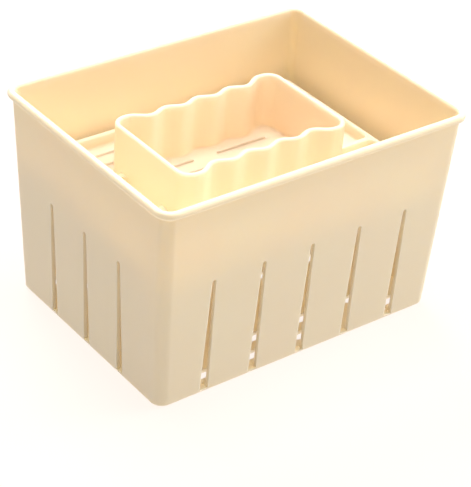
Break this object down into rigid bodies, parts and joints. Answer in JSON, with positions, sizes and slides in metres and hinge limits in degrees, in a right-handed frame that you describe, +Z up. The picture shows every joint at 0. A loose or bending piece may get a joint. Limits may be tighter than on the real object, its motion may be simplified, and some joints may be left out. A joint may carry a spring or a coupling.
{
  "type": "cheese press mould",
  "caption": "Tapered moulded box with slotted walls and floor, and a slotted press plate with a wavy hollow grip that slides down inside it.",
  "frame": {"origin": "on the ground, under the middle of the box's rim", "axes": "+Z up, +X along the long side, +Y along the short side; the walls with five slots face -Y and +Y"},
  "size_m": [0.135, 0.102, 0.084],
  "materials": {
    "mould_plastic": "satin",
    "press_plastic": "satin"
  },
  "bodies": {
    "mould": {"mould_box": "mould_plastic"},
    "press": {"press_plate": "press_plastic"}
  },
  "joints": [
    {"name": "press_slide", "type": "slide", "parent": "mould", "child": "press", "axis": [0, 0, 1], "range_m": [-0.0492, 0.045]}
  ]
}
